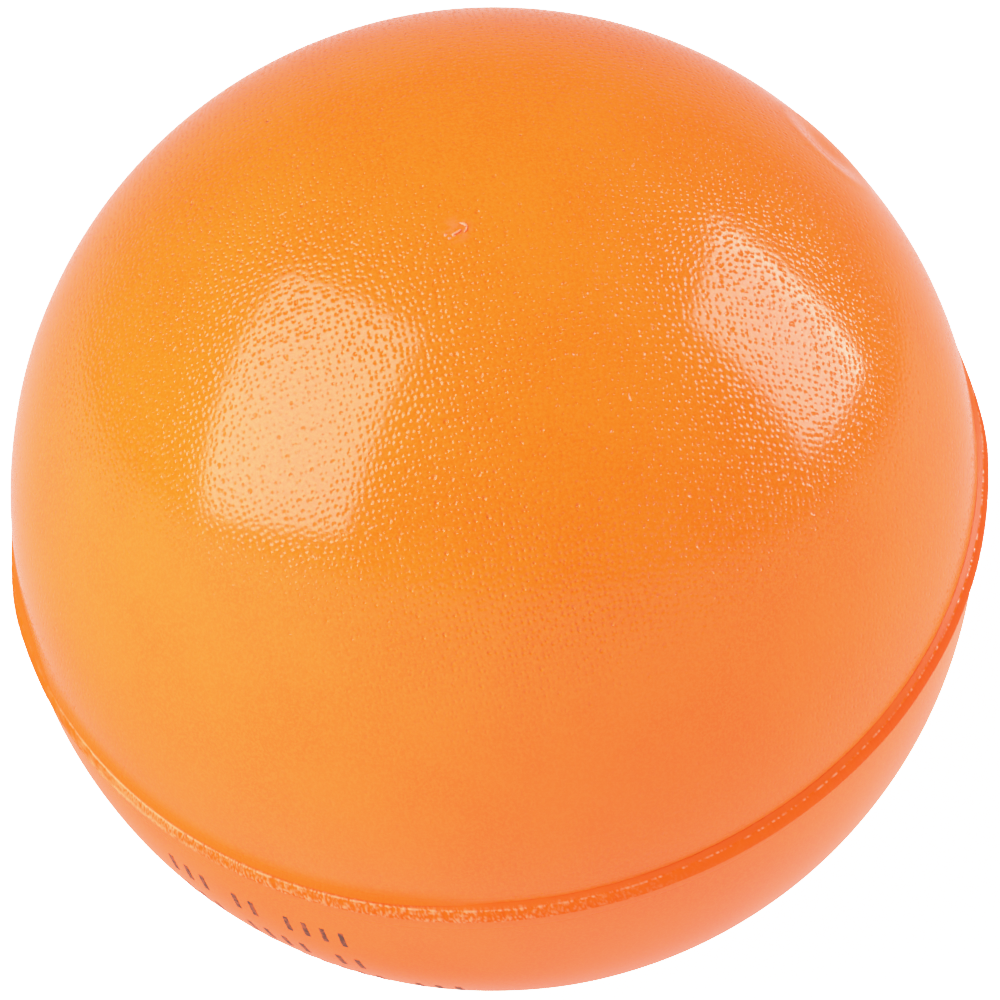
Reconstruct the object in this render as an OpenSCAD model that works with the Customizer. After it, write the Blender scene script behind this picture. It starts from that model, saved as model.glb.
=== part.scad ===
// Moulded foam ball: a one-shot polyurethane foam ball with an integral skin.
// Two cup-shaped mould halves meet on a raised band around the ball's waist.
// Origin at the ball's centre, +Z along the mould axis towards the vented upper pole.

/* [Ball] */
// Diameter of each moulded half, across its rim
ball_d = 63; // [45:0.5:90]
// Distance along the mould axis between the centres of the two halves
half_gap = 1.7; // [1.4:0.1:3]
// Thickness of the dense skin over the cellular core
skin_t = 1.2; // [0.8:0.1:2]
// Sideways shift of the lower mould half towards -X
mould_shift = 0.32; // [0:0.02:0.4]

/* [Parting band] */
// Height of the raised band that the mould's rim leaves
band_h = 1.35; // [1:0.05:1.4]
// How far the band stands proud of the upper half
band_proud = 0.62; // [0.5:0.02:1]
// Radius of the hollow fillet between the upper half and the band's ledge
ledge_fillet = 0.25; // [0.1:0.05:0.3]
// Radius of the band's rounded upper edge
crest_r = 0.15; // [0.05:0.05:0.2]
// Bevel on the band's lower lip
lip_bevel = 0.08; // [0.02:0.02:0.2]

/* [Vent nib] */
// Diameter of the plug of foam left in the vent at the upper pole
vent_d = 0.9; // [0.6:0.1:1.4]
// Distance of the vent from the mould axis, towards +X
vent_x = 0.85; // [0:0.05:2]
// Height of the torn stub above the skin
nib_h = 0.22; // [0.1:0.02:0.4]
// Length of the torn flake that lies on the skin beside the stub
flake_l = 1.3; // [0.8:0.1:2]
// Width of the torn flake
flake_w = 0.5; // [0.3:0.05:0.8]
// Thickness of the torn flake
flake_t = 0.1; // [0.05:0.01:0.2]

/* [Dent] */
// Width of the shallow dent in the upper half
dent_d = 7.4; // [5:0.2:9]
// Depth of the dent below the ball's surface
dent_t = 0.45; // [0.4:0.05:0.6]
// Longitude of the dent, in degrees from +X
dent_lon = 26; // [0:1:90]
// Latitude of the dent, in degrees above the upper half's rim
dent_lat = 25.5; // [20:0.5:60]

/* [Printed mark] */
// Thickness of the ink
ink_t = 0.06; // [0.04:0.01:0.1]
// Height of each printed stroke
stroke_h = 2.2; // [1.5:0.1:3]
// Width of each printed stroke
stroke_w = 0.42; // [0.3:0.02:0.6]
// Distance from one stroke to the next
stroke_pitch = 1.3; // [1:0.05:1.6]
// Distance from one row of strokes to the next
row_pitch = 4.8; // [4:0.1:5.5]
// Longitude of the middle of the mark, in degrees from +X
mark_lon = -131; // [-180:1:180]
// Latitude of the row nearest to the band, in degrees
mark_lat = -9.4; // [-14:0.1:-8]

/* [Hidden] */
$fn = 120;
ball_r = ball_d / 2;
core_r = ball_r - skin_t;
upper_z = half_gap / 2;              // centre of the upper half, and its rim
lower_z = -half_gap / 2;             // centre of the lower half
band_top = upper_z;
band_low = band_top - band_h;
wall_h = band_low - lower_z;         // straight wall of the lower half, below the band
band_r = ball_r + band_proud;
beyond = 5;                          // how far a cutting shape runs past what it cuts

// The dent is cut by a large sphere: its rise over the dent's width gives its radius.
dent_r = dent_d / 2;
dent_rise = dent_t - (ball_r - sqrt(pow(ball_r, 2) - pow(dent_r, 2)));
dent_tool_r = (pow(dent_r, 2) + pow(dent_rise, 2)) / (2 * dent_rise);

// Where the vent's axis meets the surfaces of the upper half and of the core.
vent_r = vent_d / 2;
vent_skin_z = upper_z + sqrt(pow(ball_r, 2) - pow(vent_x, 2));
vent_core_z = upper_z + sqrt(pow(core_r, 2) - pow(vent_x, 2));
vent_root = 0.6;                     // how far the foam plug reaches into the core
nib_taper = 0.65;                    // the stub's tip, as a share of the vent's radius

// The printed rows: a stroke where the list has 1 and a space where it has 0.
MARK_ROWS = [
    [1, 1, 1, 1, 0, 1, 1, 0, 1, 1, 1],
    [1, 1, 0, 1, 1, 1, 1, 0, 1, 1, 1],
    [1, 1, 1, 0, 1, 1, 1, 1, 1, 0, 1, 1, 0, 1, 1, 1, 1, 1, 1],
];

SKIN = [0.95, 0.50, 0.13];
SKIN_LOW = [0.95, 0.49, 0.20];
BAND = [0.94, 0.42, 0.10];
FOAM = [0.97, 0.66, 0.36];
TORN = [0.98, 0.74, 0.56];
INK = [0.33, 0.20, 0.15];

// Half of a thick shape above (side = 1) or below (side = -1) a level.
module half_space(z, side) {
    reach = ball_r + beyond;
    translate([-reach, -reach, side > 0 ? z : z - reach]) cube([2 * reach, 2 * reach, reach]);
}

// The cellular core's outline: two half balls with a straight waist between them.
module core_body() {
    intersection() {
        translate([0, 0, upper_z]) sphere(r = core_r);
        half_space(upper_z, 1);
    }
    translate([0, 0, lower_z]) cylinder(r = core_r, h = half_gap);
    intersection() {
        translate([0, 0, lower_z]) sphere(r = core_r);
        half_space(lower_z, -1);
    }
}

// The foam plug that fills the vent, from inside the core up to a level.
module vent_plug(top) {
    low = vent_core_z - vent_root;
    translate([vent_x, 0, low]) cylinder(r = vent_r, h = top - low);
}

// Open-celled foam inside the skin. The vent's plug of foam is the nib's.
module foam_core() {
    color(FOAM) difference() {
        core_body();
        vent_plug(vent_core_z + beyond);
    }
}

// Dense smooth skin of the upper half, with the vent hole and the shallow dent.
module upper_skin() {
    color(SKIN) difference() {
        intersection() {
            translate([0, 0, upper_z]) sphere(r = ball_r);
            half_space(band_top, 1);
        }
        translate([0, 0, upper_z]) sphere(r = core_r);
        vent_plug(vent_skin_z + beyond);
        translate([0, 0, upper_z]) rotate([0, -dent_lat, dent_lon])
            translate([ball_r - dent_t + dent_tool_r, 0, 0]) sphere(r = dent_tool_r);
    }
}

// Dense smooth skin of the lower half, shifted sideways with its mould half.
module lower_skin() {
    color(SKIN_LOW) difference() {
        translate([-mould_shift, 0, 0]) {
            intersection() {
                translate([0, 0, lower_z]) sphere(r = ball_r);
                half_space(lower_z, -1);
            }
            translate([0, 0, lower_z]) cylinder(r = ball_r, h = wall_h);
        }
        core_body();
    }
}

// Outline of the band: hollow fillet, flat ledge, rounded crest, upright face, sharp lip.
module band_outline() {
    ledge_z = band_top - ledge_fillet;
    difference() {
        union() {
            translate([core_r, band_low + lip_bevel])
                square([band_r - core_r, ledge_z - band_low - lip_bevel]);
            translate([core_r, band_low]) square([band_r - lip_bevel - core_r, lip_bevel]);
            translate([core_r, ledge_z - crest_r])
                square([ball_r + ledge_fillet - core_r, ledge_fillet + crest_r]);
        }
        translate([ball_r + ledge_fillet, band_top]) circle(r = ledge_fillet);
        difference() {
            translate([band_r - crest_r, ledge_z - crest_r]) square(2 * crest_r);
            translate([band_r - crest_r, ledge_z - crest_r]) circle(r = crest_r);
        }
    }
}

// Raised band of trimmed flash on the parting line.
module parting_band() {
    color(BAND) rotate_extrude() band_outline();
}

// Torn stub of the foam that rose into the vent, with a flake lying beside it.
module vent_nib() {
    color(TORN) {
        vent_plug(vent_skin_z);
        translate([vent_x, 0, vent_skin_z]) cylinder(r1 = vent_r, r2 = vent_r * nib_taper, h = nib_h);
        intersection() {
            translate([0, 0, upper_z]) difference() {
                sphere(r = ball_r + flake_t);
                sphere(r = ball_r);
            }
            translate([vent_x - flake_l, -flake_w / 2, vent_core_z]) cube([flake_l, flake_w, beyond]);
        }
    }
}

// One printed stroke, as a curved film between two latitudes of the lower half.
module stroke(lon, lat) {
    half_lat = stroke_h / 2 / ball_r * 180 / PI;
    width = stroke_w / (ball_r * cos(lat)) * 180 / PI;
    reach = ball_r + beyond;
    rotate([0, 0, lon - width / 2]) rotate_extrude(angle = width) intersection() {
        difference() {
            circle(r = ball_r + ink_t);
            circle(r = ball_r);
        }
        polygon([
            [0, 0],
            reach * [cos(lat - half_lat), sin(lat - half_lat)],
            reach * [cos(lat + half_lat), sin(lat + half_lat)],
        ]);
    }
}

// Plain printed strokes in three rows on the lower half.
module printed_mark() {
    row_step = row_pitch / ball_r * 180 / PI;
    color(INK) translate([-mould_shift, 0, lower_z]) for (row = [0:len(MARK_ROWS) - 1]) {
        lat = mark_lat - row * row_step;
        step = stroke_pitch / (ball_r * cos(lat)) * 180 / PI;
        last = len(MARK_ROWS[row]) - 1;
        for (i = [0:last])
            if (MARK_ROWS[row][i] == 1) stroke(mark_lon - (i - last / 2) * step, lat);
    }
}

foam_core();
upper_skin();
lower_skin();
parting_band();
vent_nib();
printed_mark();
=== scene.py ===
import math
from collections import namedtuple

import bpy
import numpy as np
from mathutils import Matrix, Vector, noise


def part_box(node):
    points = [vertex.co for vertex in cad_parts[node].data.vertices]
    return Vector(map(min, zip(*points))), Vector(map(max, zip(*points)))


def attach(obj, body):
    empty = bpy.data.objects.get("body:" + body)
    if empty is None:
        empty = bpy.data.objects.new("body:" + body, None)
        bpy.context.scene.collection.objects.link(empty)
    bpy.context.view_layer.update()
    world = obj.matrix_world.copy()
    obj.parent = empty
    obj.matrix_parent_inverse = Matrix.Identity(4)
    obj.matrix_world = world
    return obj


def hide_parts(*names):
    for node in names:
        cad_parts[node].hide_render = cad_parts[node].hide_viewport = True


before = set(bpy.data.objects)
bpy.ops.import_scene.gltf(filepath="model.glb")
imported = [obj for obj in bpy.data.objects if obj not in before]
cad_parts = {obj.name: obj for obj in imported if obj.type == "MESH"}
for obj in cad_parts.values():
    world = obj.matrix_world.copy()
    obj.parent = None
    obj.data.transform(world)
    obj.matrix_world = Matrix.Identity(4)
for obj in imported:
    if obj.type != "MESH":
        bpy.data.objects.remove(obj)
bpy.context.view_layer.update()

# A moulded foam ball. Lengths are in metres, in the frame of the CAD model.
MM = 0.001
TAU = 2 * math.pi

# ---------------------------------------------------------------- sizes from the frame
upper_low, upper_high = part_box("upper_skin")
lower_low, lower_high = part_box("lower_skin")
band_low, band_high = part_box("parting_band")
core_low, core_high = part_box("foam_core")

BALL_R = (upper_high.x - upper_low.x) / 2
CORE_R = (core_high.x - core_low.x) / 2
BAND_R = (band_high.x - band_low.x) / 2
UPPER_C = Vector((0, 0, upper_low.z))
LOWER_C = Vector(((lower_low.x + lower_high.x) / 2, 0, lower_low.z + BALL_R))
WALL_TOP = lower_high.z

# ---------------------------------------------------------------- details of the pieces
# Cells along one side of the grids that make the skins' outer faces, their inner faces and
# the core, and steps round the band.
SKIN_GRID = 280
LINING_GRID = 70
CORE_GRID = 90
BAND_STEPS = 3000

# An edge is drawn sharp where its faces turn by more than this.
SKIN_SHARP = math.radians(50)
BAND_SHARP = math.radians(60)

# How far below its rim's level a point of the bowl may lie and still belong to the rim.
RIM_SLACK = 0.02 * MM

# The round dent in the dome, with a low lip round it.
DENT_LON = math.radians(25.6)
DENT_LAT = math.radians(25.8)
DENT_R = 3.6 * MM
DENT_DEPTH = 0.42 * MM
DENT_LIP = 0.05 * MM

# Soft unevenness of the skins and of the core, which lies a little below the skins.
WAVE_DEPTH = 0.009 * MM
WAVE_LENGTH = 9 * MM
CORE_WAVE_DEPTH = 0.04 * MM
CORE_WAVE_LENGTH = 1.2 * MM
CORE_GAP = 0.12 * MM

# The pits in the skin: their spacing, and the tangent of their steepest slope. The least
# radius and its spread are shares of the spacing.
PIT_SPACING = 0.47 * MM
PIT_SLOPE = 0.62
PIT_SCATTER = 0.58
SMALL_PIT_LEAST = 0.42
SMALL_PIT_SPREAD = 0.18
LARGE_PIT_SPACING = 3.3 * PIT_SPACING
LARGE_PIT_LEAST = 0.09
LARGE_PIT_SPREAD = 0.06

# The pits are shallower round this direction from the dome's centre.
SMOOTH_AREA = Vector((-0.60, -0.45, 0.66))

# Heights of the finest relief on each finish.
GRAIN_HEIGHT = 0.005 * MM
BAND_GRAIN_HEIGHT = 0.012 * MM
TORN_GRAIN_HEIGHT = 0.03 * MM
INK_GRAIN_HEIGHT = 0.006 * MM
CELL_DEPTH = 0.25 * MM

# How rough the surface's reflection is: on each half, near the rims and inside the pits.
DOME_SATIN = 0.095
BOWL_SATIN = 0.25
RIM_SATIN = 0.30
RIM_SATIN_HEIGHT = 2.4 * MM
PIT_SATIN = 0.18
PIT_SATIN_DEPTH = 0.012 * MM

# The pits' depth as a share of the full depth, on each half.
DOME_PITS = 1.0
BOWL_PITS = 0.5

# The specular level of the skin and of the flare, and the refractive indices.
SKIN_GLOSS = 0.5
FLARE_GLOSS = 0.15
SKIN_IOR = 1.45
SCRAP_IOR = 1.5
CORE_IOR = 1.4

# The dome flares out a little at its foot, over this range of longitude.
FLARE_FROM = math.radians(-176)
FLARE_TO = math.radians(-98)
FLARE_HEIGHT = 1.5 * MM
FLARE_DEPTH = 0.34 * MM

# Ranges of longitude round the band, in degrees, each with the width of its soft ends.
# The flash is torn and pale in the first, and streaked in the second; its pale torn marks are
# partly painted glints. It is left wide in the third, and elsewhere only a share of it stands
# proud. Its face is darkened by painted shade in the last.
TORN_RANGE = (184, 288, 34)
STREAKED_RANGE = (164, 230, 20)
WIDE_RANGE = (168, 369, 16)
FACE_SHADE_RANGE = (285, 400, 40)
CLOSE_TRIM = 0.3

# Along the band: the lengths of its torn cells, streaks, fine relief, beads and wander.
CELL_LENGTH = 0.18 * MM
CELL_HEIGHT = 0.24 * MM
STREAK_LENGTH = 0.5 * MM
FINE_LENGTH = 0.10 * MM
FINE_HEIGHT = 0.12 * MM
BEAD_LENGTH = 0.17 * MM
WANDER_LENGTH = 5 * MM
RIPPLE_LENGTH = 0.9 * MM
WANDER = 0.03 * MM

# How rough the band's face and foot are, against 1 on its crest.
FACE_ROUGH = 0.6
FOOT_ROUGH = 0.9
CREST_SHEEN = 1.0

# The middle of the torn vent scar on the dome, in the frame's X and Y. No pits lie within
# half of SCAR_R, and the skin sinks over SCAR_SPREAD. SCRAP_T is half a scrap's thickness,
# and SCRAP_LIFT its rise off the skin.
SCAR = Vector((0.95 * MM, -0.35 * MM))
SCAR_R = 1.5 * MM
SCAR_DEPTH = 0.05 * MM
SCAR_SPREAD = 0.7 * MM
SCRAP_T = 0.05 * MM
SCRAP_LIFT = 0.02 * MM

# Rows of plain printed strokes on the lower half: 1 is a stroke and 0 a space. The ink
# covers INK_WIDTH of a stroke's width, and reaches INK_T above the skin and below it.
MARK_ROWS = (
    (1, 1, 1, 1, 0, 1, 1, 0, 1, 1, 1),
    (1, 1, 0, 1, 1, 1, 1, 0, 1, 1, 1),
    (1, 1, 1, 0, 1, 1, 1, 1, 1, 0, 1, 1, 0, 1, 1, 1, 1, 1, 1),
)
MARK_LON = math.radians(-131)
MARK_LAT = math.radians(-9.4)
STROKE_H = 2.2 * MM
STROKE_W = 0.42 * MM
STROKE_PITCH = 1.3 * MM
ROW_PITCH = 4.8 * MM
INK_T = 0.02 * MM
INK_WIDTH = 0.84

# ---------------------------------------------------------------- camera and light
CAMERA_ELEVATION = math.radians(56.8)
CAMERA_LEAN = math.radians(11.4)
CAMERA_DISTANCE = 60 * BALL_R
CAMERA_LENS = 1047
CAMERA_SENSOR = 36
CAMERA_NEAR = 0.1
CAMERA_FAR = 100
AIM_RIGHT = 0.331 * MM
AIM_DOWN = 0.536 * MM
TABLE_TILT = math.radians(24)        # the lit tabletop's angle below the camera's line
SOFTBOX_DISTANCE = 1.0
FLOOR_GLOW = 2.6
FLOOR_HALF = 8.0
FLOOR_DROP = 0.02 * MM               # the floor's gap below the ball

# Brightness of the world: the tabletop and the room before the ball, and the backdrop's
# foot, middle and top behind it.
TABLE_LIGHT = 1.10
ROOM_LIGHT = 0.21
BACKDROP_FOOT = 0.85
BACKDROP_MIDDLE = 0.49
BACKDROP_TOP = 0.4
GLOW_LIGHT = 0.2
CORNER_SHADE = 0.28

# Directions of the world as shares of the camera's right, up and backward directions.
GLOW_WAY = (-0.85, -0.25, 0.46)
CORNER_WAY = (-0.71, -0.41, -0.57)
UNDER_WAY = (-0.15, -0.5, -0.85)

# The tone curve's soft shoulder, as pairs of light and the share of white that is shown.
TONE_SHOULDER = ((0.8, 0.8), (0.9, 0.868), (1.05, 0.912), (1.3, 0.938), (1.8, 0.963))
TONE_WHITE = 3.0


# ---------------------------------------------------------------- mesh helpers
def make_piece(name, points, faces, material, smooth=True, sharp_angle=None):
    """A mesh object from arrays of points and lists of faces."""
    mesh = bpy.data.meshes.new(name)
    mesh.from_pydata(np.asarray(points, float).tolist(), [], faces)
    mesh.update()
    mesh.polygons.foreach_set("use_smooth", [smooth] * len(mesh.polygons))
    if sharp_angle is not None:
        mesh.set_sharp_from_angle(angle=sharp_angle)
    mesh.materials.append(material)
    piece = bpy.data.objects.new(name, mesh)
    bpy.context.scene.collection.objects.link(piece)
    return piece


def declare(piece, nodes):
    """Puts a piece on the body and hides the CAD parts that it stands for."""
    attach(piece, "root")
    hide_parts(*nodes)


def set_values(piece, name, values):
    """One number for each vertex, which the piece's material reads by name."""
    layer = piece.data.attributes.new(name, "FLOAT", "POINT")
    layer.data.foreach_set("value", np.asarray(values, np.float32))


def smoothstep(x, low, high):
    """0 below low and 1 above high, with a smooth rise between."""
    t = np.clip((x - low) / (high - low), 0, 1)
    return t * t * (3 - 2 * t)


def hemisphere(n):
    """Unit directions over the upper half of a sphere, as a grid of n by n cells of equal area."""
    line = np.linspace(-1, 1, n + 1)
    a, b = np.meshgrid(line, line, indexing="ij")
    wide = np.abs(a) > np.abs(b)
    r = np.where(wide, a, b)
    safe = np.where(r == 0, 1, r)
    turn = np.where(wide, b / safe, 2 - a / safe) * math.pi / 4
    lift = np.sqrt(2 - r * r)
    return np.stack([r * np.cos(turn) * lift, r * np.sin(turn) * lift, 1 - r * r], -1)


def grid_point(n, start, i, j):
    """Index of a point of an n by n grid whose points begin at index start."""
    return start + i * (n + 1) + j


def grid_faces(n, start, inward=False):
    """Quads of an n by n grid whose points begin at index start."""
    faces = []
    for i in range(n):
        for j in range(n):
            a = grid_point(n, start, i, j)
            quad = (a, a + n + 1, a + n + 2, a + 1)
            faces.append(quad[::-1] if inward else quad)
    return faces


def grid_edge(n, start):
    """Indices round the edge of an n by n grid, anticlockwise from its first corner."""
    side_a = [grid_point(n, start, i, 0) for i in range(n)]
    side_b = [grid_point(n, start, n, j) for j in range(n)]
    side_c = [grid_point(n, start, n - i, n) for i in range(n)]
    side_d = [grid_point(n, start, 0, n - j) for j in range(n)]
    return side_a + side_b + side_c + side_d


def rim_faces(outer, inner):
    """Faces of a flat rim between a fine outer loop and a coarser inner one."""
    step = len(outer) // len(inner)
    faces = []
    for k, here in enumerate(inner):
        there = inner[(k + 1) % len(inner)]
        for s in range(step):
            a = outer[k * step + s]
            b = outer[(k * step + s + 1) % len(outer)]
            faces.append((b, a, here))
        last = outer[((k + 1) * step) % len(outer)]
        faces.append((last, here, there))
    return faces


def flipped(faces):
    """The same faces, seen from their other side."""
    return [f[::-1] for f in faces]


# ---------------------------------------------------------------- surface relief
def waves(points, length, seed):
    """Soft uneven relief between -1 and 1: a sum of sine waves in random directions."""
    rng = np.random.default_rng(seed)
    total = np.zeros(points.shape[:-1])
    count = 14
    for _ in range(count):
        way = rng.normal(size=3)
        way *= TAU / (length * rng.uniform(0.7, 1.5)) / np.linalg.norm(way)
        total += np.sin(points @ way + rng.uniform(0, TAU))
    return total / math.sqrt(count)


def dent_relief(directions):
    """The shallow dent in the dome, as an offset along its surface normal."""
    middle = np.array([
        math.cos(DENT_LAT) * math.cos(DENT_LON),
        math.cos(DENT_LAT) * math.sin(DENT_LON),
        math.sin(DENT_LAT),
    ])
    away = np.arccos(np.clip(directions @ middle, -1, 1)) * BALL_R / DENT_R
    bowl = -DENT_DEPTH * np.cos(np.clip(away, 0, 1) * math.pi / 2) ** 2
    lip = DENT_LIP * np.exp(-((away - 1.05) / 0.16) ** 2)
    return bowl + lip


def flare_relief(directions):
    """The dome's soft flare above the band, on one side."""
    lon = np.arctan2(directions[..., 1], directions[..., 0])
    middle = (FLARE_FROM + FLARE_TO) / 2
    half = (FLARE_TO - FLARE_FROM) / 2
    turn = np.abs((lon - middle + math.pi) % TAU - math.pi)
    side = 1 - smoothstep(turn, half * 0.6, half)
    height = directions[..., 2] * BALL_R
    return FLARE_DEPTH * side * np.clip(1 - height / FLARE_HEIGHT, 0, 1) ** 2


def scar_relief(points):
    """A shallow sunken patch round the torn vent."""
    away = np.hypot(points[..., 0] - SCAR.x, points[..., 1] - SCAR.y)
    return -SCAR_DEPTH * np.exp(-((away / SCAR_SPREAD) ** 2))


# ---------------------------------------------------------------- material helpers
class Nodes:
    """A short way to build a node tree."""

    def __init__(self, tree):
        self.tree = tree

    def add(self, kind, **settings):
        node = self.tree.nodes.new("ShaderNode" + kind)
        for key, value in settings.items():
            setattr(node, key, value)
        return node

    def put(self, value, socket):
        """Links an output to an input socket, or sets the input to a plain value."""
        if isinstance(value, bpy.types.NodeSocket):
            self.tree.links.new(value, socket)
        else:
            socket.default_value = value

    def math(self, operation, a, b=0.0, c=0.0, clamp=False):
        node = self.add("Math", operation=operation, use_clamp=clamp)
        for value, socket in zip((a, b, c), node.inputs):
            self.put(value, socket)
        return node.outputs[0]

    def vector(self, operation, a, b=None):
        node = self.add("VectorMath", operation=operation)
        self.put(a, node.inputs[0])
        if b is not None:
            self.put(b, node.inputs[1])
        return node.outputs["Value" if operation in ("DOT_PRODUCT", "LENGTH") else "Vector"]

    def scaled(self, vector, amount):
        node = self.add("VectorMath", operation="SCALE")
        self.put(vector, node.inputs[0])
        self.put(amount, node.inputs["Scale"])
        return node.outputs["Vector"]

    def ramp(self, value, low, high, start=0.0, end=1.0):
        """Maps a value smoothly from low..high to start..end."""
        node = self.add("MapRange", interpolation_type="SMOOTHSTEP")
        for item, socket in zip((value, low, high, start, end), node.inputs):
            self.put(item, socket)
        return node.outputs["Result"]

    def noise(self, place, scale, detail=2.0, roughness=0.5):
        node = self.add("TexNoise")
        self.put(place, node.inputs["Vector"])
        self.put(scale, node.inputs["Scale"])
        self.put(detail, node.inputs["Detail"])
        self.put(roughness, node.inputs["Roughness"])
        return node.outputs["Fac"]

    def voronoi(self, place, scale, dimensions="3D", randomness=1.0):
        node = self.add("TexVoronoi", voronoi_dimensions=dimensions, feature="F1")
        self.put(place, node.inputs["Vector"])
        self.put(scale, node.inputs["Scale"])
        self.put(randomness, node.inputs["Randomness"])
        return node

    def mix(self, amount, a, b):
        node = self.add("Mix", data_type="RGBA", clamp_factor=True)
        self.put(amount, node.inputs[0])
        self.put(a, node.inputs[6])
        self.put(b, node.inputs[7])
        return node.outputs[2]

    def place(self):
        return self.add("TexCoord").outputs["Object"]

    def attribute(self, name):
        return self.add("Attribute", attribute_name=name).outputs["Fac"]

    def bump(self, height):
        """Bumps the surface by a height in metres."""
        node = self.add("Bump")
        node.inputs["Strength"].default_value = 1.0
        node.inputs["Distance"].default_value = 1.0
        self.put(height, node.inputs["Height"])
        return node.outputs["Normal"]


class Finish(Nodes):
    """A material's node tree, with the shader that its looks go into."""

    def __init__(self, name):
        self.material = bpy.data.materials.new(name)
        self.material.use_nodes = True
        super().__init__(self.material.node_tree)
        self.shader = self.tree.nodes["Principled BSDF"]

    def done(self, color, normal=None, **values):
        """Sets the shader's colour, normal and other values, and returns the material."""
        self.put(color, self.shader.inputs["Base Color"])
        if normal is not None:
            self.put(normal, self.shader.inputs["Normal"])
        for key, value in values.items():
            self.put(value, self.shader.inputs[key.replace("_", " ")])
        return self.material


def rgb(r, g, b):
    return (r, g, b, 1.0)


SKIN_COLOR = rgb(0.97, 0.211, 0.008)
SKIN_PALE = rgb(0.99, 0.245, 0.016)
SKIN_DEEP = rgb(0.96, 0.188, 0.006)
BAND_COLOR = rgb(0.95, 0.175, 0.01)
BAND_DEEP = rgb(0.93, 0.140, 0.01)
# Painted shade: a deeper orange on the dome's flared foot above the band.
FLARE_SHADE_COLOR = rgb(0.94, 0.155, 0.006)
# Painted shade: a dark red for the groove at the dome's foot and for the band's face.
SEAM_SHADE_COLOR = rgb(0.80, 0.07, 0.012)
# Pale torn foam, which also colours the painted glints on the band's crest.
TORN_AND_GLINT_COLOR = rgb(1.0, 0.43, 0.20)
SCRAP_COLOR = rgb(1.0, 0.26, 0.09)
SCRAP_PALE = rgb(1.0, 0.42, 0.24)
INK_COLOR = rgb(0.10, 0.032, 0.018)
INK_WORN = rgb(0.42, 0.10, 0.03)
# Painted shade: the core's cells are darker in their hollows than on their walls.
CELL_HOLLOW_SHADE = rgb(0.55, 0.12, 0.02)
CELL_PALE = rgb(0.97, 0.42, 0.10)
FLOOR_COLOR = rgb(0.80, 0.80, 0.80)
FLOOR_PALE = rgb(0.83, 0.83, 0.83)
WHITE = rgb(1, 1, 1)
LEFT_TINT = rgb(1.10, 0.885, 0.90)
RIGHT_TINT = rgb(1.18, 0.93, 0.96)
BOUNCE_TINT = rgb(1.15, 0.50, 0.42)

# How fine each pattern is, as the scale of its noise.
PATCH_SCALE = 55.0
MOTTLE_SCALE = 140.0
GRAIN_SCALE = 3600.0
SPECKLE_SCALE = 5200.0
SMEAR_SCALE = 1900.0
BAND_MOTTLE_SCALE = 700.0
BAND_GRAIN_SCALE = 3000.0
SCRAP_MOTTLE_SCALE = 2400.0
SCRAP_GRAIN_SCALE = 4000.0
INK_WEAR_SCALE = 3200.0
INK_GRAIN_SCALE = 5000.0
CELL_SCALE = 1500.0
FLOOR_SCALE = 3.0


# ---------------------------------------------------------------- materials
def pit_layer(n, flat, spacing, least, spread, pointed):
    """Height in metres of one layer of round pits on the flattened surface.

    A pit's radius is a share of the spacing between least and least + spread.
    Its sides are steepest at the middle if it is pointed, or half way up."""
    cells = n.voronoi(n.scaled(flat, 1 / spacing), 1.0, dimensions="2D", randomness=PIT_SCATTER)
    split = n.add("SeparateColor")
    n.put(cells.outputs["Color"], split.inputs[0])
    radius = n.math("MULTIPLY_ADD", n.math("POWER", split.outputs[0], 2.0), spread, least)
    steep = n.math("MULTIPLY_ADD", split.outputs[1], 0.5 * PIT_SLOPE, 0.5 * PIT_SLOPE)
    far = n.math("DIVIDE", cells.outputs["Distance"], radius)
    if pointed:
        inside = n.math("SUBTRACT", 1.0, far, clamp=True)
        bowl = n.math("MULTIPLY", n.math("POWER", inside, 2.0), -0.75)
    else:
        bowl = n.ramp(far, 0.0, 1.0, -1.0, 0.0)
    depth = n.math("MULTIPLY", n.math("MULTIPLY", radius, steep), spacing / 1.5)
    return n.math("MULTIPLY", bowl, depth)


def skin_pits(n, place, centre, side):
    """Height in metres of the small round pits that gas bubbles leave in the moulded skin.

    The pits are spread evenly over a half ball by its equal-area map, and are
    shallow near its rim."""
    local = n.vector("NORMALIZE", n.vector("SUBTRACT", place, tuple(centre)))
    up = n.vector("DOT_PRODUCT", local, (0, 0, side))
    stretch = n.math("SQRT", n.math("DIVIDE", 2.0, n.math("ADD", 1.0, up)))
    flat = n.scaled(local, n.math("MULTIPLY", stretch, BALL_R))
    small = pit_layer(n, flat, PIT_SPACING, SMALL_PIT_LEAST, SMALL_PIT_SPREAD, True)
    large = pit_layer(n, flat, LARGE_PIT_SPACING, LARGE_PIT_LEAST, LARGE_PIT_SPREAD, False)
    return n.math("MULTIPLY", n.math("ADD", small, large), n.ramp(up, 0.38, 0.68, 0.3, 1.0))


def up_from_rim(n, place, centre, side):
    """Distance along the mould axis from a half ball's rim, in metres."""
    return n.vector("DOT_PRODUCT", n.vector("SUBTRACT", place, tuple(centre)), (0, 0, side))


def scar_distance(n, place):
    """Distance from the torn vent at the dome's top, in metres."""
    away = n.vector("SUBTRACT", place, (SCAR.x, SCAR.y, UPPER_C.z + BALL_R))
    return n.vector("LENGTH", away)


def dome_pits(n, place, pits):
    """The dome's pits, left out round the scar and shallower in its smooth area."""
    pits = n.math("MULTIPLY", pits, n.ramp(scar_distance(n, place), SCAR_R * 0.5, SCAR_R))
    local = n.vector("NORMALIZE", n.vector("SUBTRACT", place, tuple(UPPER_C)))
    aside = n.vector("DOT_PRODUCT", local, tuple(SMOOTH_AREA))
    return n.math("MULTIPLY", pits, n.ramp(aside, 0.80, 0.96, 1.0, 0.5))


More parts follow.
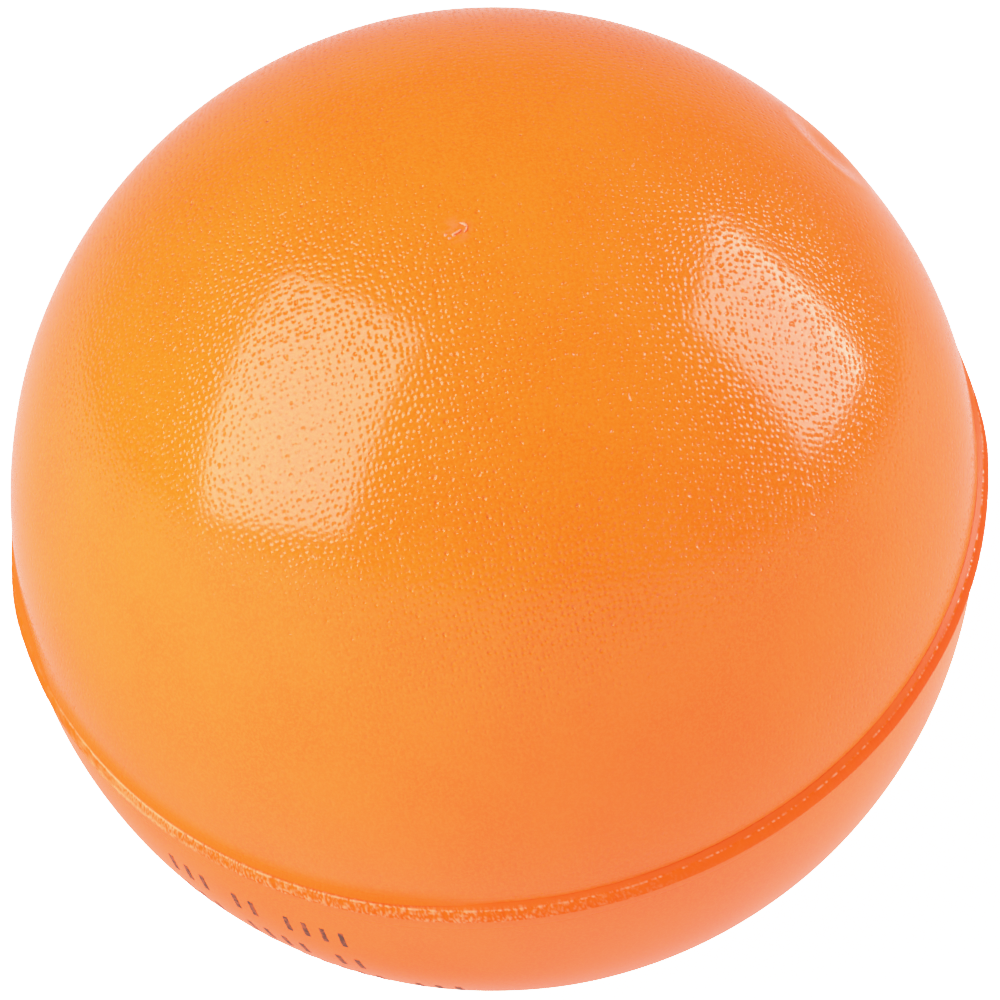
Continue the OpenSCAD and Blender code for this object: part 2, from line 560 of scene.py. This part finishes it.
def skin_color(n, place):
    """Mottled orange with fine pale speckles."""
    mottle = n.ramp(n.noise(place, MOTTLE_SCALE, detail=3.0), 0.3, 0.7)
    color = n.mix(mottle, SKIN_COLOR, SKIN_DEEP)
    specks = n.noise(place, SPECKLE_SCALE, detail=2.0, roughness=0.7)
    return n.mix(n.ramp(specks, 0.42, 0.62, 0.0, 0.75), color, SKIN_PALE)


def dome_color(n, place, color, flare_and_shade):
    """The skin's colour, darkened by painted shade on the flare and smeared with pale foam round
    the scar.
    """
    # Painted shade, which deepens the colour on the flare.
    color = n.mix(n.math("MULTIPLY", flare_and_shade, 0.8), color, FLARE_SHADE_COLOR)
    near = n.ramp(scar_distance(n, place), SCAR_R * 0.25, SCAR_R * 0.9, 0.5, 0.0)
    patches = n.ramp(n.noise(place, SMEAR_SCALE, detail=2.0), 0.42, 0.66)
    return n.mix(n.math("MULTIPLY", near, patches), color, SCRAP_COLOR)


def skin_material(name, centre, side, strength, satin):
    """The skin of one half: side is 1 for the dome and -1 for the bowl."""
    n = Finish(name)
    place = n.place()
    patches = n.noise(place, PATCH_SCALE, detail=1.0)
    depth = n.ramp(patches, 0.30, 0.68, strength * 0.7, strength * 1.15)
    pits = n.math("MULTIPLY", skin_pits(n, place, centre, side), depth)
    color = skin_color(n, place)
    glossy = SKIN_GLOSS
    if side > 0:
        flare_and_shade = n.attribute("flare_and_shade")
        pits = dome_pits(n, place, pits)
        color = dome_color(n, place, color, flare_and_shade)
        glossy = n.ramp(flare_and_shade, 0.0, 0.8, SKIN_GLOSS, FLARE_GLOSS)
    grain = n.noise(place, GRAIN_SCALE, detail=3.0, roughness=0.7)
    normal = n.bump(n.math("ADD", pits, n.math("MULTIPLY", grain, GRAIN_HEIGHT)))
    height = up_from_rim(n, place, centre, side)
    dull = n.ramp(height, 0.0, RIM_SATIN_HEIGHT, RIM_SATIN, satin)
    dull = n.math("MAXIMUM", dull, n.ramp(pits, -PIT_SATIN_DEPTH, 0.0, PIT_SATIN, 0.0))
    return n.done(color, normal, Roughness=dull, Specular_IOR_Level=glossy, IOR=SKIN_IOR)


def band_material():
    n = Finish("band_foam")
    place = n.place()
    grain = n.noise(place, BAND_GRAIN_SCALE, detail=2.0)
    color = n.mix(n.noise(place, BAND_MOTTLE_SCALE, detail=2.0), BAND_COLOR, BAND_DEEP)
    # Pale torn foam, and painted glints on the crest's beads and streaks.
    color = n.mix(n.attribute("scuff_and_glint"), color, TORN_AND_GLINT_COLOR)
    # Painted shade in the groove at the dome's foot and on the band's face.
    color = n.mix(n.attribute("seam"), color, SEAM_SHADE_COLOR)
    normal = n.bump(n.math("MULTIPLY", grain, BAND_GRAIN_HEIGHT))
    sheen = n.attribute("sheen")
    dull = n.ramp(sheen, 0.0, 1.0, 0.6, 0.15)
    glossy = n.math("MULTIPLY", sheen, 0.7)
    return n.done(color, normal, Roughness=dull, Specular_IOR_Level=glossy, IOR=SKIN_IOR)


def torn_material():
    n = Finish("torn_foam")
    place = n.place()
    color = n.mix(n.noise(place, SCRAP_MOTTLE_SCALE, detail=3.0), SCRAP_COLOR, SCRAP_PALE)
    grain = n.noise(place, SCRAP_GRAIN_SCALE)
    normal = n.bump(n.math("MULTIPLY", grain, TORN_GRAIN_HEIGHT))
    return n.done(color, normal, Roughness=0.4, IOR=SCRAP_IOR)


def ink_material():
    n = Finish("printed_ink")
    place = n.place()
    worn = n.ramp(n.noise(place, INK_WEAR_SCALE, detail=3.0), 0.38, 0.62)
    color = n.mix(worn, INK_COLOR, INK_WORN)
    grain = n.noise(place, INK_GRAIN_SCALE)
    normal = n.bump(n.math("MULTIPLY", grain, INK_GRAIN_HEIGHT))
    return n.done(color, normal, Roughness=0.45, IOR=SCRAP_IOR)


def core_material():
    n = Finish("cell_foam")
    place = n.place()
    wall = n.voronoi(place, CELL_SCALE).outputs["Distance"]
    # Painted shade, darker in each cell's hollow.
    color = n.mix(wall, CELL_HOLLOW_SHADE, CELL_PALE)
    normal = n.bump(n.math("MULTIPLY", wall, CELL_DEPTH))
    return n.done(color, normal, Roughness=0.8, IOR=CORE_IOR)


# ---------------------------------------------------------------- pieces
def skin_shell(name, directions_out, directions_in, relief, centre, side, material):
    """A half shell with a smooth outer face, a plain inner one and a flat rim."""
    n_out = len(directions_out) - 1
    n_in = len(directions_in) - 1
    flip = np.array([1, 1, side])
    outer = (directions_out * (BALL_R + relief)[..., None]) * flip + np.array(centre)
    inner = (directions_in * CORE_R) * flip + np.array([0, 0, centre.z])
    outer = outer.reshape(-1, 3)
    inner = inner.reshape(-1, 3)
    faces = grid_faces(n_out, 0)
    faces += grid_faces(n_in, len(outer), inward=True)
    faces += rim_faces(grid_edge(n_out, 0), grid_edge(n_in, len(outer)))
    if side < 0:
        faces = flipped(faces)
    points = np.concatenate([outer, inner])
    return make_piece(name, points, faces, material, sharp_angle=SKIN_SHARP)


def dome_skin():
    """The upper half, with its dent, its flared foot and the sunken scar."""
    fine = hemisphere(SKIN_GRID)
    points = fine * BALL_R
    relief = waves(points, WAVE_LENGTH, seed=3) * WAVE_DEPTH
    relief += dent_relief(fine) + flare_relief(fine) + scar_relief(points)
    lining = hemisphere(LINING_GRID)
    material = skin_material("dome_skin", UPPER_C, 1, DOME_PITS, DOME_SATIN)
    piece = skin_shell("dome_skin", fine, lining, relief, UPPER_C, 1, material)
    # The flare's share, which also sets the painted shade and the lower gloss on the flare.
    flare_and_shade = np.zeros(len(piece.data.vertices))
    flare_and_shade[:relief.size] = np.sqrt(flare_relief(fine) / FLARE_DEPTH).ravel()
    set_values(piece, "flare_and_shade", flare_and_shade)
    declare(piece, ["upper_skin"])


def bowl_skin():
    """The lower half: its rim is drawn up into a straight wall that meets the band."""
    fine = hemisphere(SKIN_GRID)
    relief = waves(fine * BALL_R, WAVE_LENGTH, seed=5) * WAVE_DEPTH
    lining = hemisphere(LINING_GRID)
    material = skin_material("bowl_skin", LOWER_C, -1, BOWL_PITS, BOWL_SATIN)
    piece = skin_shell("bowl_skin", fine, lining, relief, LOWER_C, -1, material)
    rim_z = LOWER_C.z - RIM_SLACK
    for vertex in piece.data.vertices:
        if vertex.co.z > rim_z:
            vertex.co.z = WALL_TOP
    declare(piece, ["lower_skin"])


# One point of the band's outline: where it is, how rough its flash is torn, how much painted
# shade it takes at the seam and on its face, and how shiny it is. The last three are shares of 1.
BandRow = namedtuple("BandRow", "radius height rough seam sheen")

# What the band is like at one longitude, as shares of 1.
BandPlace = namedtuple("BandPlace", "torn streaked red proud")


def band_rows(spots, rough, seam, sheen):
    """Rows of the band's outline at spots in millimetres from the dome's foot."""
    top = band_high.z
    return [BandRow(BALL_R + r * MM, top + z * MM, rough, seam, sheen) for r, z in spots]


def band_outline():
    """The band's closed outline.

    From the dome's foot it slopes out to a crest, and rolls over to an upright face."""
    low = band_low.z
    hidden = [(-0.20, 0.00), (-0.07, 0.10), (-0.01, 0.11)]
    ledge = [(0.06, 0.04), (0.15, -0.07)]
    edge = [(0.23, -0.15), (0.31, -0.22)]
    crest = [(0.35, -0.25), (0.375, -0.28), (0.395, -0.31)]
    face = [(0.43, -0.36), (0.48, -0.46), (0.53, -0.58), (0.57, -0.72)]
    foot = [(0.60, -0.88), (0.62, -1.05), (0.62, -1.22), (0.61, -1.29)]
    rows = [BandRow(CORE_R, band_high.z, 0.0, 0.0, 0.0)]
    # The hidden groove rows, and the face and foot rows, take painted shade.
    rows += band_rows(hidden, 0.0, 1.0, 0.5)
    rows += band_rows(ledge, 0.0, 0.0, 0.6)
    rows += band_rows(edge, 0.3, 0.0, 0.6)
    rows += band_rows(crest, 1.0, 0.0, CREST_SHEEN)
    rows += band_rows(face, FACE_ROUGH, 0.5, 0.1)
    rows += band_rows(foot, FOOT_ROUGH, 0.5, 0.1)
    rows.append(BandRow(BAND_R - 0.07 * MM, low, 0.0, 0.0, 0.3))
    rows.append(BandRow(BALL_R - 0.4 * MM, low, 0.0, 0.0, 0.0))
    rows.append(BandRow(CORE_R, low, 0.0, 0.0, 0.0))
    return rows


def between(lon, low, high, soft):
    """1 between two longitudes in degrees and 0 outside them, with soft ends."""
    turn = (lon - low) % 360
    return float(smoothstep(turn, 0, soft) * (1 - smoothstep(turn, high - low - soft, high - low)))


def band_place(lon):
    """How torn, streaked, darkened on its face by painted shade, and proud the band is at a
    longitude in radians.
    """
    degrees = math.degrees(lon)
    wide = between(degrees, *WIDE_RANGE)
    return BandPlace(
        torn=between(degrees, *TORN_RANGE),
        streaked=between(degrees, *STREAKED_RANGE),
        red=between(degrees, *FACE_SHADE_RANGE),
        proud=CLOSE_TRIM + (1 - CLOSE_TRIM) * wide,
    )


def rumple(x, y, z):
    """Smooth noise between about -1 and 1."""
    return noise.noise(Vector((x, y, z)))


def in_seam(row):
    """True in the groove between the dome's foot and the band."""
    return row.rough == 0 and row.seam > 0


def band_point(row, place, lon, cell, fine, bead, wander, ripple):
    """One point of the band: its outline's row, trimmed, torn and wandering."""
    past = max(0.0, row.radius - BALL_R)
    lift = row.rough * (place.torn * (0.07 * cell + 0.03 * fine) + 0.02 * bead) * MM
    out = row.radius - past + past * place.proud + lift
    z = row.height + 0.5 * lift
    if row.rough > 0:
        out += wander * place.proud
    if in_seam(row):
        z += wander + ripple
    return out * math.cos(lon), out * math.sin(lon), z


def band_shading(row, place, cell, fine, bead):
    """How scuffed and painted with glints, how much painted shade it takes at the seam and on its
    face, and how shiny the band is at one point.
    """
    torn = place.torn
    streaked = place.streaked
    worn = max(torn, streaked)
    even = torn * max(0.0, row.rough - FACE_ROUGH) * (0.3 + 0.7 * row.sheen) * (1 + streaked)
    if row.rough >= FACE_ROUGH:
        even += torn * streaked * 0.4
    peak = max(0.0, (cell * 1.2 + fine * 0.8) * (1 - 0.5 * streaked) + even)
    painted_glint = 0.0
    shine = 0.8
    # Painted glints: pale spots of colour on the crest's beads.
    if row.sheen == CREST_SHEEN:
        painted_glint = max(0.0, bead * 1.8 - 0.1) * (1 - worn)
        shine = max(0.0, 0.3 + 1.5 * bead)
    # Painted shade: darker in the groove at the dome's foot, and on the band's face over one range
    # of longitude.
    painted_shade = 0.6 * (1 - torn * 0.9) if in_seam(row) else place.red
    scuff_and_glint = min(0.8, row.rough * (0.05 + torn) * peak * 1.5 + painted_glint)
    return scuff_and_glint, row.seam * painted_shade, row.sheen * (1 - 0.5 * worn) * shine


def parting_band():
    """The raised band: its outline swept round, torn on one side and trimmed close behind."""
    rows = band_outline()
    side = len(rows)
    points = []
    shading = []
    for i in range(BAND_STEPS):
        lon = TAU * i / BAND_STEPS
        place = band_place(lon)
        along = lon * BAND_R
        stretch = CELL_LENGTH + STREAK_LENGTH * place.streaked
        wander = rumple(along / WANDER_LENGTH, 3.1, 0.7) * WANDER
        ripple = rumple(along / RIPPLE_LENGTH, 7.3, 2.2) * WANDER
        bead = rumple(along / BEAD_LENGTH, 5.5, 4.4)
        for row in rows:
            cell = rumple(along / stretch, row.height / CELL_HEIGHT, 1.7)
            fine = rumple(along / FINE_LENGTH, row.height / FINE_HEIGHT, 9.2)
            points.append(band_point(row, place, lon, cell, fine, bead, wander, ripple))
            shading.append(band_shading(row, place, cell, fine, bead))
    faces = []
    for i in range(BAND_STEPS):
        here = i * side
        there = (i + 1) % BAND_STEPS * side
        for j in range(side):
            k = (j + 1) % side
            faces.append((here + j, here + k, there + k, there + j))
    piece = make_piece("waist_band", points, faces, band_material(), sharp_angle=BAND_SHARP)
    for name, values in zip(("scuff_and_glint", "seam", "sheen"), zip(*shading)):
        set_values(piece, name, values)
    declare(piece, ["parting_band"])


def dome_height(x, y):
    """Height of the dome's surface over a point near its top."""
    return UPPER_C.z + math.sqrt(BALL_R ** 2 - x * x - y * y)


def ribbon(path, width, seed):
    """A torn ragged strip of foam along a path of (x, y, height above the dome) in millimetres."""
    rng = np.random.default_rng(seed)
    count = 14
    around = 8
    knots = np.array(path, float) * MM
    spans = np.linspace(0, len(knots) - 1, count)
    line = np.stack([np.interp(spans, range(len(knots)), knots[:, k]) for k in range(3)], -1)
    points = []
    for i, (x, y, lift) in enumerate(line):
        ahead = line[min(i + 1, count - 1)] - line[max(i - 1, 0)]
        ahead /= np.linalg.norm(ahead)
        across = np.array([-ahead[1], ahead[0], 0])
        share = math.sin(math.pi * (i + 0.6) / (count + 0.2)) ** 0.6
        half = width * MM / 2 * share * rng.uniform(0.7, 1.2)
        thick = SCRAP_T * share * rng.uniform(0.8, 1.3)
        middle = np.array([x, y, dome_height(x, y) + lift + SCRAP_LIFT])
        for k in range(around):
            t = TAU * k / around
            rise = np.array([0, 0, thick * math.sin(t)])
            points.append(middle + across * half * math.cos(t) + rise)
    faces = []
    for i in range(count - 1):
        for k in range(around):
            a = i * around + k
            b = i * around + (k + 1) % around
            faces.append((a, b, b + around, a + around))
    faces.append(tuple(range(around))[::-1])
    faces.append(tuple((count - 1) * around + k for k in range(around)))
    return points, faces


def lump(x, y, radius, height, seed):
    """A ragged crumb of foam on the dome, as a noisy cap measured in millimetres."""
    rings = 7
    around = 20
    points = []
    for i in range(rings):
        t = (i + 1) / rings
        for k in range(around):
            turn = TAU * k / around
            wild = rumple(math.cos(turn) * 1.7, math.sin(turn) * 1.7, seed)
            r = radius * MM * t * (1 + 0.45 * wild)
            px = x * MM + r * math.cos(turn)
            py = y * MM + r * math.sin(turn)
            uneven = 1 + 0.6 * noise.noise(Vector((px, py, 0)) / (0.2 * MM))
            rise = height * MM * (1 - t ** 2) * uneven
            points.append((px, py, dome_height(px, py) + rise - 0.02 * MM * t))
    top = len(points)
    points.append((x * MM, y * MM, dome_height(x * MM, y * MM) + height * MM))
    base = len(points)
    points.append((x * MM, y * MM, dome_height(x * MM, y * MM) - 0.3 * MM))
    faces = []
    for k in range(around):
        j = (k + 1) % around
        faces.append((top, k, j))
        for i in range(rings - 1):
            here = i * around
            there = here + around
            faces.append((here + k, there + k, there + j, here + j))
        last = (rings - 1) * around
        faces.append((last + k, base, last + j))
    return points, faces


def joined(parts):
    """Several (points, faces) pairs as one."""
    points = []
    faces = []
    for part_points, part_faces in parts:
        shift = len(points)
        points += [tuple(p) for p in part_points]
        faces += [tuple(i + shift for i in f) for f in part_faces]
    return points, faces


def vent_nib():
    """The torn foam at the vent: a low plug, a hooked rim and loose scraps beside it."""
    parts = [
        lump(0.14, -0.60, 0.13, 0.05, seed=5.1),
        lump(0.34, -0.90, 0.11, 0.05, seed=8.7),
        lump(0.68, -0.66, 0.13, 0.05, seed=2.4),
        ribbon([(1.16, 0.12, 0.01), (1.46, -0.06, 0.05), (1.62, -0.30, 0.04)], 0.21, seed=11),
        ribbon([(1.60, -0.26, 0.04), (1.52, -0.48, 0.03), (1.34, -0.68, 0.01)], 0.15, seed=12),
        ribbon([(1.20, -0.40, 0.01), (0.96, -0.56, 0.03), (0.62, -0.68, 0.04)], 0.19, seed=13),
    ]
    points, faces = joined(parts)
    piece = make_piece("vent_scraps", points, faces, torn_material())
    declare(piece, ["vent_nib"])


def stroke_points(lon, lat, rows, columns, rng):
    """Points of one printed stroke with slightly ragged edges: pairs above and below the skin."""
    half_lat = STROKE_H / 2 / BALL_R
    half_lon = STROKE_W / 2 * INK_WIDTH / (BALL_R * math.cos(lat))
    points = []
    for i in range(rows + 1):
        left = half_lon * rng.uniform(0.86, 1.1)
        right = half_lon * rng.uniform(0.86, 1.1)
        end = half_lat * rng.uniform(0.97, 1.03)
        t = lat - end + 2 * end * i / rows
        for j in range(columns + 1):
            p = lon - left + (left + right) * j / columns
            way = Vector((math.cos(t) * math.cos(p), math.cos(t) * math.sin(p), math.sin(t)))
            for level in (INK_T, -INK_T):
                points.append(LOWER_C + way * (BALL_R + level))
    return points


def stroke(lon, lat, rng):
    """One printed stroke, lying on the lower half as a thin closed film."""
    rows = 12
    columns = 4

    def at(i, j, low):
        return 2 * (i * (columns + 1) + j) + low

    faces = []
    for i in range(rows):
        k = i + 1
        for j in range(columns):
            faces.append((at(i, j, 0), at(i, j + 1, 0), at(k, j + 1, 0), at(k, j, 0)))
            faces.append((at(i, j, 1), at(k, j, 1), at(k, j + 1, 1), at(i, j + 1, 1)))
        last = columns
        faces.append((at(i, 0, 1), at(i, 0, 0), at(k, 0, 0), at(k, 0, 1)))
        faces.append((at(i, last, 0), at(i, last, 1), at(k, last, 1), at(k, last, 0)))
    for j in range(columns):
        k = j + 1
        last = rows
        faces.append((at(0, j, 1), at(0, k, 1), at(0, k, 0), at(0, j, 0)))
        faces.append((at(last, j, 0), at(last, k, 0), at(last, k, 1), at(last, j, 1)))
    return stroke_points(lon, lat, rows, columns, rng), faces


def printed_strokes():
    """Three rows of plain strokes that stand for the ball's print."""
    rng = np.random.default_rng(21)
    parts = []
    for row, marks in enumerate(MARK_ROWS):
        lat = MARK_LAT - row * ROW_PITCH / BALL_R
        step = STROKE_PITCH / (BALL_R * math.cos(lat))
        middle = (len(marks) - 1) / 2
        for i, drawn in enumerate(marks):
            if drawn:
                parts.append(stroke(MARK_LON - (i - middle) * step, lat, rng))
    points, faces = joined(parts)
    piece = make_piece("printed_strokes", points, faces, ink_material(), smooth=False)
    declare(piece, ["printed_mark"])


def core_foam():
    """The cellular core inside the skins: two rough half balls joined at a straight waist."""
    n = CORE_GRID
    half = hemisphere(n)
    rough = waves(half * CORE_R, CORE_WAVE_LENGTH, seed=9) * CORE_WAVE_DEPTH - CORE_GAP
    shell = half * (CORE_R + rough)[..., None]
    upper = shell + np.array(UPPER_C)
    lower = shell * np.array([1, 1, -1]) + np.array([0, 0, LOWER_C.z])
    upper = upper.reshape(-1, 3)
    lower = lower.reshape(-1, 3)
    faces = grid_faces(n, 0)
    faces += grid_faces(n, len(upper), inward=True)
    above = grid_edge(n, 0)
    below = grid_edge(n, len(upper))
    for k in range(len(above)):
        j = (k + 1) % len(above)
        faces.append((above[k], below[k], below[j], above[j]))
    points = np.concatenate([upper, lower])
    piece = make_piece("core_foam", points, faces, core_material())
    declare(piece, ["foam_core"])


# ---------------------------------------------------------------- stage, light and camera
def view_axes():
    """The camera's right, up and backward directions."""
    back = Vector((0, -math.cos(CAMERA_ELEVATION), math.sin(CAMERA_ELEVATION)))
    level = Vector((1, 0, 0))
    rise = back.cross(level)
    right = level * math.cos(CAMERA_LEAN) - rise * math.sin(CAMERA_LEAN)
    up = level * math.sin(CAMERA_LEAN) + rise * math.cos(CAMERA_LEAN)
    return right, up, back


def make_camera():
    right, up, back = view_axes()
    data = bpy.data.cameras.new("camera")
    data.lens = CAMERA_LENS
    data.sensor_width = CAMERA_SENSOR
    data.clip_start = CAMERA_NEAR
    data.clip_end = CAMERA_FAR
    camera = bpy.data.objects.new("camera", data)
    aim = UPPER_C + right * AIM_RIGHT - up * AIM_DOWN
    place = Matrix((right, up, back)).transposed().to_4x4()
    place.translation = aim + back * CAMERA_DISTANCE
    camera.matrix_world = place
    bpy.context.scene.collection.objects.link(camera)
    bpy.context.scene.camera = camera


def softbox(name, azimuth, elevation, roll, width, height, radiance, color=(1, 1, 1)):
    """A rectangular studio light that faces the ball. Its angles are in degrees."""
    a = math.radians(azimuth)
    e = math.radians(elevation)
    out = Vector((math.cos(e) * math.cos(a), math.cos(e) * math.sin(a), math.sin(e)))
    across = Vector((0, 0, 1)).cross(out).normalized()
    place = Matrix((across, out.cross(across), out)).transposed().to_4x4()
    place = place @ Matrix.Rotation(math.radians(roll), 4, "Z")
    place.translation = UPPER_C + out * SOFTBOX_DISTANCE
    data = bpy.data.lights.new(name, "AREA")
    data.shape = "RECTANGLE"
    data.color = color
    data.size = width * SOFTBOX_DISTANCE
    data.size_y = height * SOFTBOX_DISTANCE
    data.energy = radiance * math.pi * data.size * data.size_y
    light = bpy.data.objects.new(name, data)
    light.matrix_world = place
    light.visible_camera = False
    bpy.context.scene.collection.objects.link(light)


def facing(n, way, shares):
    """How nearly the world is seen along a direction: 1 along it and -1 away from it."""
    right, up, back = view_axes()
    direction = (right * shares[0] + up * shares[1] + back * shares[2]).normalized()
    return n.vector("DOT_PRODUCT", way, tuple(direction))


def front_light(n, way, height):
    """Light before the ball: a bright tabletop under a dim room, and a glow on the left."""
    front = n.ramp(height, -0.04, 0.04, TABLE_LIGHT, ROOM_LIGHT)
    glow = n.ramp(facing(n, way, GLOW_WAY), 0.80, 1.0, 0.0, GLOW_LIGHT)
    share = n.ramp(height, -0.04, 0.04, 1.0, 0.2)
    return n.math("MULTIPLY_ADD", share, glow, front)


def backdrop_light(n, height):
    """Light behind the ball, which fades upwards."""
    foot = n.ramp(height, -0.45, 0.25, BACKDROP_FOOT, BACKDROP_MIDDLE)
    top = n.ramp(height, 0.30, 0.65, 1.0, BACKDROP_TOP)
    return n.math("MULTIPLY", foot, top)


def make_world():
    """A dim studio with a bright tabletop below and a white backdrop behind the ball."""
    world = bpy.data.worlds.new("studio")
    bpy.context.scene.world = world
    world.use_nodes = True
    n = Nodes(world.node_tree)
    way = n.add("TexCoord").outputs["Generated"]
    height = facing(n, way, (0, math.cos(TABLE_TILT), math.sin(TABLE_TILT)))
    behind = facing(n, way, (0, 0, -1))
    across = facing(n, way, (1, 0, 0))
    front = front_light(n, way, height)
    far = backdrop_light(n, height)
    behind = n.math("MULTIPLY_ADD", n.math("ABSOLUTE", across), -0.15, behind)
    amount = n.ramp(behind, 0.33, 0.73)
    light = n.math("MULTIPLY_ADD", amount, n.math("SUBTRACT", far, front), front)
    corner = n.math("MAXIMUM", facing(n, way, CORNER_WAY), 0.0)
    shade = n.math("MULTIPLY_ADD", n.math("POWER", corner, 14.0), -CORNER_SHADE, 1.0)
    under = n.math("MAXIMUM", facing(n, way, UNDER_WAY), 0.0)
    tint = n.mix(n.ramp(across, -0.6, 0.6), LEFT_TINT, RIGHT_TINT)
    tint = n.mix(n.math("POWER", under, 16.0), tint, BOUNCE_TINT)
    background = n.tree.nodes["Background"]
    n.put(n.math("MULTIPLY", light, shade), background.inputs["Strength"])
    n.put(tint, background.inputs["Color"])


def make_floor():
    """A wide pale floor that glows white. It doesn't light the ball or take its shadow."""
    n = Finish("pale_floor")
    tone = n.noise(n.place(), FLOOR_SCALE, detail=2.0)
    color = n.mix(tone, FLOOR_COLOR, FLOOR_PALE)
    n.put(FLOOR_GLOW, n.shader.inputs["Emission Strength"])
    n.put(WHITE, n.shader.inputs["Emission Color"])
    material = n.done(color, Roughness=0.9)
    w = FLOOR_HALF
    z = lower_low.z - FLOOR_DROP
    points = [(-w, -w, z), (w, -w, z), (w, w, z), (-w, w, z)]
    floor = make_piece("floor", points, [(0, 1, 2, 3)], material, smooth=False)
    floor.visible_diffuse = False
    floor.visible_glossy = False
    floor.visible_shadow = False


def set_tones():
    """Plain colours, with a soft shoulder above 80% so that bright orange doesn't clip."""
    view = bpy.context.scene.view_settings
    view.view_transform = "Standard"
    view.look = "None"
    view.use_curve_mapping = True
    tones = view.curve_mapping
    tones.white_level = (TONE_WHITE, TONE_WHITE, TONE_WHITE)
    curve = tones.curves[3]
    for light, shown in TONE_SHOULDER:
        point = curve.points.new(light / TONE_WHITE, shown)
        point.handle_type = "VECTOR"
    curve.points[0].handle_type = "VECTOR"
    curve.points[-1].handle_type = "VECTOR"
    tones.update()


def make_softboxes():
    """A softbox for each of the two highlights, and a thin one for the band's bright crest."""
    softbox("key_softbox", azimuth=176.8, elevation=49.8, roll=50.5,
            width=0.76, height=0.97, radiance=6.5, color=(1.0, 0.97, 1.0))
    softbox("side_softbox", azimuth=11.5, elevation=14.8, roll=58.0,
            width=0.68, height=0.54, radiance=7.2, color=(1.0, 0.95, 1.05))
    softbox("edge_softbox", azimuth=22.65, elevation=7.58, roll=54.0,
            width=0.641, height=0.098, radiance=2.8)


set_tones()
make_camera()
make_world()
make_softboxes()
make_floor()
core_foam()
dome_skin()
bowl_skin()
parting_band()
vent_nib()
printed_strokes()
